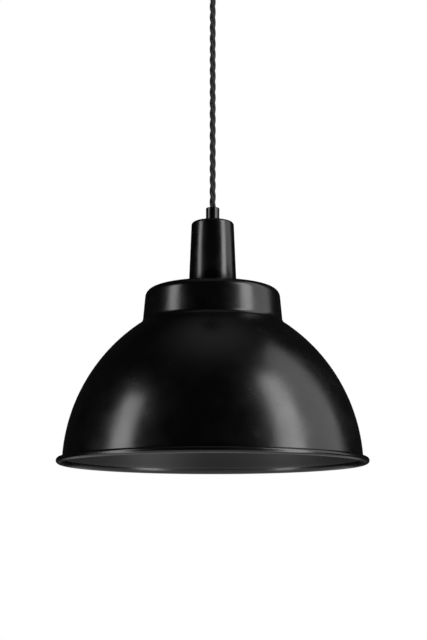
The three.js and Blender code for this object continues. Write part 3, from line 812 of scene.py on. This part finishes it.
# ---------------------------------------------------------------------------- shade
@dataclass
class Shade:
    """The spun shade: stepped crown, dome and rolled rim, painted satin outside and matt inside."""

    sheet: float = 0.0011
    bead_radius: float = 0.0033
    dome_radius: float = 0.1855
    dome_centre: tuple[float, float] = (-0.0267, -0.003)
    foot_radius: float = 0.0754
    crown_radius: float = 0.073
    edge_fillet: float = 0.0092
    foot_fillet: float = 0.009
    hole_radius: float = 0.0203
    segments: int = 288

    def face(self, inward: float, dome_steps: int) -> Outline:
        """The sheet's face from the crown's hole to the rim, measured up from the rim.

        Args:
            inward: how far the face lies inside the outer one.
            dome_steps: points on the dome.

        Returns:
            Its outline.
        """
        low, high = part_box("shade")
        top = high.z - low.z
        cr, cz = self.dome_centre
        corner = cz + math.sqrt(self.dome_radius**2 - (self.foot_radius - cr) ** 2)
        draft = math.atan2(self.foot_radius - self.crown_radius, top - corner)
        edge_centre = (self.crown_radius - self.edge_fillet, top - self.edge_fillet)
        edge = arc(edge_centre, self.edge_fillet - inward, 90, math.degrees(draft), 14)
        foot_r = self.foot_radius - 0.0004 + self.foot_fillet / math.cos(draft)
        foot_z = cz + math.sqrt((self.dome_radius + self.foot_fillet) ** 2 - (foot_r - cr) ** 2)
        touch = math.degrees(math.atan2(foot_z - cz, foot_r - cr))
        foot = arc((foot_r, foot_z), self.foot_fillet + inward, 180 + math.degrees(draft), 180 + touch, 8)
        last = math.degrees(math.asin((2 * self.bead_radius - 0.0009 - cz) / (self.dome_radius - inward)))
        dome = arc(self.dome_centre, self.dome_radius - inward, touch, last, dome_steps)
        return [(self.hole_radius, top - inward), *edge, *foot, *dome[1:]]

    def build(self) -> None:
        """Makes the shell, with its inside painted separately."""
        low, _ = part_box("shade")
        rim_radius = radius_of("shade") + 0.0001
        outside = self.face(0.0, 48)
        inside = self.face(self.sheet, 48)
        bead = arc((rim_radius - self.bead_radius, self.bead_radius), self.bead_radius, -150, 128, 20)
        outline = [(r, z + low.z) for r, z in [*inside, *bead, *reversed(outside)]]
        shell = revolve("shade_shell", outline, self.segments, sharp=40)
        finish_piece(shell, SHADE_PAINT, Slot.SHADE, Body.DOME, "shade")
        shell.data.materials.append(INNER_PAINT.material())
        inner_faces = (len(inside) - 1) * self.segments
        for index, polygon in enumerate(shell.data.polygons):
            if index < inner_faces:
                polygon.material_index = 1


# ---------------------------------------------------------------------------- lampholder
@dataclass
class Grip:
    """The collar that holds the flex at either end."""

    bore_radius: float = 0.0037
    spigot_radius: float = 0.0049
    spigot_length: float = 0.01
    chamfer: float = 0.0007
    pitch: float = 0.001

    def build(self, name: str, node: str, body: Body, upright: bool) -> None:
        """Makes a collar with its threaded spigot.

        Args:
            name: the piece's name.
            node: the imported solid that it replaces.
            body: the body that carries it.
            upright: whether the mouth is at the top.
        """
        low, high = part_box(node)
        radius = radius_of(node)
        tall = high.z - low.z
        foot = self.spigot_length
        mouth = arc((radius - self.chamfer, tall - self.chamfer), self.chamfer, 0, 90, 5)
        lip = arc((self.bore_radius + self.chamfer, tall - self.chamfer), self.chamfer, 90, 180, 5)
        thread = [(self.spigot_radius, foot * k / 40) for k in range(41)]
        shoulder = [(radius - 0.0002, foot), (radius, foot + 0.0002)]
        outline = [(self.bore_radius, 0.0), *thread, *shoulder, *mouth, *lip]
        if upright:
            placed = [(r, low.z + z) for r, z in outline]
        else:
            placed = [(r, high.z - z) for r, z in reversed(outline)]
        limit = self.spigot_radius + 1e-6

        def threaded(r: float, z: float, angle: float) -> float:
            if abs(r - self.spigot_radius) > 1e-6:
                return r
            return limit - 0.00025 * (0.5 + 0.5 * math.cos(TAU * z / self.pitch - angle))

        piece = revolve(name, placed, 96, shape=threaded, sharp=50)
        finish_piece(piece, PAINT, Slot.PAINT, body, node)


@dataclass
class Lampholder:
    """The tapered cover and, inside it, the yoke, the porcelain, the contacts and the threaded skirt."""

    cover_wall: float = 0.0011
    cover_fillet: float = 0.0034
    cover_top_radius: float = 0.0232
    spigot_hole: float = 0.0052
    shell_pitch: float = 0.00362
    skirt_pitch: float = 0.0025
    knurls: int = 44

    def cover(self) -> None:
        """Makes the tapered cover with its softened top edge."""
        low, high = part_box("lampholder_cover")
        foot = radius_of("lampholder_cover")
        centre = (self.cover_top_radius - self.cover_fillet, high.z - self.cover_fillet)
        outer = arc(centre, self.cover_fillet, 2, 90, 14)
        inner = arc(centre, self.cover_fillet - self.cover_wall, 90, 2, 10)
        wall = self.cover_wall
        lip = 0.0003
        outline = [
            (foot - wall, low.z),
            (foot - lip, low.z),
            (foot, low.z + lip),
            *outer,
            (self.spigot_hole, high.z),
            (self.spigot_hole, high.z - wall),
            *inner,
        ]
        piece = revolve("cover_shell", outline, 192, sharp=50)
        finish_piece(piece, PAINT, Slot.PAINT, Body.HOLDER, "lampholder_cover")

    def skirt(self) -> None:
        """Makes the skirt with its shade-ring thread."""
        low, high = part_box("holder_skirt")
        shoulder = radius_of("holder_skirt")
        barrel, bore, mouth = 0.0198, 0.0178, 0.0146
        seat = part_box("shade")[1].z + 0.0003
        thread = [(barrel, low.z + 0.001 + (seat - low.z - 0.001) * k / 60) for k in range(61)]
        outline = [
            (mouth, low.z),
            (barrel - 0.001, low.z),
            *thread,
            (shoulder, seat),
            (shoulder, seat + 0.0025),
            (barrel - 0.0002, seat + 0.0025),
            (barrel - 0.0002, high.z),
            (bore, high.z),
            (bore, low.z + 0.0027),
            (mouth, low.z + 0.0027),
        ]

        def threaded(r: float, z: float, angle: float) -> float:
            if abs(r - barrel) > 1e-6:
                return r
            return r - 0.0006 * (0.5 + 0.5 * math.cos(TAU * z / self.skirt_pitch - angle))

        piece = revolve("skirt_barrel", outline, 128, shape=threaded, sharp=45)
        finish_piece(piece, MOULDING, Slot.MOULDING, Body.HOLDER, "holder_skirt")

    def shell(self) -> None:
        """Makes the rolled screw shell."""
        low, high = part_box("screw_shell")
        radius = radius_of("screw_shell")
        wall = 0.0005
        steps = 72
        heights = [low.z + (high.z - low.z) * k / steps for k in range(steps + 1)]
        crest = radius - 0.00025
        outline = [(crest, z) for z in heights] + [(crest - wall, z) for z in reversed(heights)]

        def rolled(r: float, z: float, angle: float) -> float:
            return r + 0.00025 * math.cos(TAU * z / self.shell_pitch - angle)

        piece = revolve("screw_shell_rolled", outline, 96, shape=rolled, sharp=60)
        finish_piece(piece, BRASS, Slot.BRASS, Body.HOLDER, "screw_shell")

    def ring(self) -> None:
        """Makes the shade ring with finger ribs round its body."""
        low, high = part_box("shade_ring")
        flange, body, bore = radius_of("shade_ring"), 0.025, 0.0201
        shelf = high.z - 0.003
        rib = [(body, low.z + 0.001 + (shelf - low.z - 0.001) * k / 6) for k in range(7)]
        outline = [
            (bore, low.z),
            (body - 0.001, low.z),
            *rib,
            (flange - 0.0004, shelf),
            (flange, shelf + 0.0004),
            (flange, high.z),
            (bore, high.z),
        ]

        def ribbed(r: float, z: float, angle: float) -> float:
            if abs(r - body) > 1e-6:
                return r
            return r - 0.0007 * abs(math.sin(angle * self.knurls / 2))

        piece = revolve("shade_ring_ribbed", outline, self.knurls * 8, shape=ribbed, sharp=50)
        finish_piece(piece, MOULDING, Slot.MOULDING, Body.RING, "shade_ring")

    def build(self) -> None:
        """Makes the new surfaces and dresses the inner solids."""
        Grip().build("cord_grip_collar", "cord_grip", Body.HOLDER, upright=True)
        self.cover()
        self.skirt()
        self.shell()
        self.ring()
        dress(STEEL, "cord_grip_screw", "holder_yoke", "yoke_screw_left", "yoke_screw_right")
        terminal_screws = ("live_terminal_screw", "neutral_terminal_screw")
        dress(BRASS, "grip_nut", "yoke_earth_screw", *terminal_screws, "centre_contact")
        dress(PORCELAIN, "holder_ceramic")
        dress(BROWN, "core_live")
        dress(BLUE, "core_neutral")
        dress(GREEN, "core_earth")


# ---------------------------------------------------------------------------- bulb
@dataclass
class Bulb:
    """A clear filament lamp: blown envelope, stem with lead wires, four filaments and a threaded cap."""

    glass: float = 0.0007
    globe_centre: float = 0.126
    neck: tuple[tuple[float, float], ...] = (
        (0.0265, 0.1401),
        (0.0226, 0.1494),
        (0.0176, 0.16),
        (0.0144, 0.1695),
        (0.0122, 0.1782),
        (0.0121, 0.186),
    )
    pitch: float = 0.00362
    filaments: int = 4
    filament_radius: float = 0.0009
    filament_lean: float = 0.0022
    wire_sag: float = 0.0012
    wire_radius: float = 0.0003

    def envelope_face(self, inward: float) -> Outline:
        """A face of the envelope, measured up from the shade's rim.

        Args:
            inward: how far it lies inside the outer face.

        Returns:
            Its outline from the bottom to the neck's mouth.
        """
        radius = radius_of("bulb_glass")
        globe = arc((0, self.globe_centre), radius - inward, -90, 28, 40)
        globe[0] = (0.0, globe[0][1])
        points = [Vector((r - inward, z, 0)) for r, z in self.neck]
        neck: Outline = []
        for k in range(len(points) - 1):
            before = points[max(k - 1, 0)]
            after = points[min(k + 2, len(points) - 1)]
            start, stop = points[k], points[k + 1]
            for step in range(1, 9):
                t = step / 8
                place = 0.5 * (
                    2 * start
                    + (stop - before) * t
                    + (2 * before - 5 * start + 4 * stop - after) * t**2
                    + (3 * start - before - 3 * stop + after) * t**3
                )
                neck.append((place.x, place.y))
        return [*globe, *neck]

    def build(self) -> None:
        """Makes the bulb's pieces and dresses its insulator and tip."""
        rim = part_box("shade")[0].z
        outer, inner = self.envelope_face(0.0), self.envelope_face(self.glass)
        outline = [(r, z + rim) for r, z in [*outer, *reversed(inner)]]
        envelope = revolve("bulb_envelope", outline, 96, sharp=70, closed=False)
        finish_piece(envelope, GLASS, Slot.GLASS, Body.BULB, "bulb_glass")
        self.cap()
        self.stem()
        self.lights()
        dress(MOULDING, "bulb_insulator")
        dress(NICKEL, "bulb_tip")

    def cap(self) -> None:
        """Makes the rolled screw cap."""
        low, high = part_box("bulb_cap")
        radius = radius_of("bulb_cap")
        wall = 0.0004
        top = high.z - 0.0035
        steps = 64
        side = [(radius, low.z + (top - low.z) * k / steps) for k in range(steps + 1)]
        crimp = [(0.009, high.z), (0.0082, high.z), (0.0082, high.z - wall)]
        outline = [(radius - wall, low.z), *side, *crimp, (radius - wall, top)]

        def rolled(r: float, z: float, angle: float) -> float:
            if abs(r - radius) > 1e-6:
                return r
            fade = min(1.0, (z - low.z) / 0.003)
            return r - 0.0007 * fade * (0.5 + 0.5 * math.cos(TAU * z / self.pitch - angle))

        piece = revolve("bulb_cap_rolled", outline, 96, shape=rolled, sharp=60)
        finish_piece(piece, NICKEL, Slot.NICKEL, Body.BULB, "bulb_cap")

    def stem(self) -> None:
        """Makes the pressed glass stem."""
        low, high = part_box("bulb_stem")
        tall = high.z - low.z
        flare = radius_of("bulb_stem")
        pinch = [(0.0, 0.0), (0.0025, 0.0), (0.003, 0.03), (0.003, 0.08)]
        marks = [*pinch, (0.0018, 0.14), (0.0018, 0.55), (0.0026, 0.68)]
        outline = [(r, low.z + tall * t) for r, t in marks]
        outline += [(0.004, low.z + tall * 0.78), (flare, low.z + tall * 0.97)]
        outline += [(flare, high.z), (0.0, high.z)]
        piece = revolve("bulb_stem_pressed", outline, 48, sharp=60, closed=False)
        finish_piece(piece, GLASS, Slot.GLASS, Body.BULB, "bulb_stem")

    def lights(self) -> None:
        """Makes the filaments and the wires that hold them."""
        for number in range(1, self.filaments + 1):
            node = f"bulb_filament_{number}"
            low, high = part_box(node)
            centre = (low + high) / 2
            outward = Vector((math.copysign(1, centre.x), math.copysign(1, centre.y), 0)).normalized()
            middle = Vector((centre.x, centre.y, 0)).length
            top = outward * (middle - self.filament_lean) + Vector((0, 0, high.z))
            bottom = outward * (middle + self.filament_lean) + Vector((0, 0, low.z))
            line = [top.lerp(bottom, k / 20) for k in range(21)]
            piece = sweep(f"filament_rod_{number}", [line], self.filament_radius, 12, taper=2)
            finish_piece(piece, PHOSPHOR, Slot.PHOSPHOR, Body.BULB, node)
            stem_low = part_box("bulb_stem")[0].z
            hub = Vector((0, 0, stem_low + 0.003))
            upper = [hub.lerp(top, k / 6) for k in range(7)]
            next_turn = Matrix.Rotation(TAU / self.filaments, 3, "Z")
            steps = [k / 10 for k in range(11)]
            sags = [Vector((0, 0, -self.wire_sag * math.sin(math.pi * step))) for step in steps]
            lower = [bottom.lerp(next_turn @ bottom, step) + sag for step, sag in zip(steps, sags)]
            lines = [upper] if number % 2 == 0 else [upper, lower]
            wires = sweep(f"filament_wire_{number}", lines, self.wire_radius, 8)
            finish_piece(wires, NICKEL, Slot.NICKEL, Body.BULB)


# ---------------------------------------------------------------------------- ceiling rose
@dataclass
class CeilingRose:
    """The cup on the ceiling with its bracket, grip and terminals."""

    wall: float = 0.001
    fillet: float = 0.006
    hole: float = 0.0052
    screw_hole: float = 0.0023

    def build(self) -> None:
        """Makes the cup and dresses what it holds."""
        low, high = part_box("ceiling_cup")
        radius = radius_of("ceiling_cup")
        centre = (radius - self.fillet, low.z + self.fillet)
        outline = [
            (self.hole, low.z),
            *arc(centre, self.fillet, -90, 0, 14),
            (radius, high.z - 0.0002),
            (radius - 0.0002, high.z),
            (radius - self.wall, high.z),
            *arc(centre, self.fillet - self.wall, 0, -90, 12),
            (self.hole, low.z + self.wall),
        ]
        cup = revolve("cup_shell", outline, 192, sharp=50)
        finish_piece(cup, PAINT, Slot.PAINT, Body.CEILING, "ceiling_cup")
        Grip().build("ceiling_grip_collar", "ceiling_grip", Body.CEILING, upright=False)
        dress(STEEL, "ceiling_bracket", "cup_screw_left", "cup_screw_right", "ceiling_grip_screw")
        dress(BRASS, "earth_screw", "ceiling_grip_nut", "terminal_screw_1", "terminal_screw_2")
        dress(PLASTIC, "terminal_block")
        dress(BROWN, "tail_live")
        dress(BLUE, "tail_neutral")
        dress(GREEN, "tail_earth")


def main() -> None:
    """Builds the studio and every sub-assembly in order."""
    logging.basicConfig(level=logging.INFO, format="%(name)s: %(message)s")
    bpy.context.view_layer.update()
    for part in (Studio(), Flex(), CeilingRose(), Lampholder(), Shade(), Bulb()):
        log.info("building %s", type(part).__name__)
        part.build()


if __name__ == "__main__":
    main()
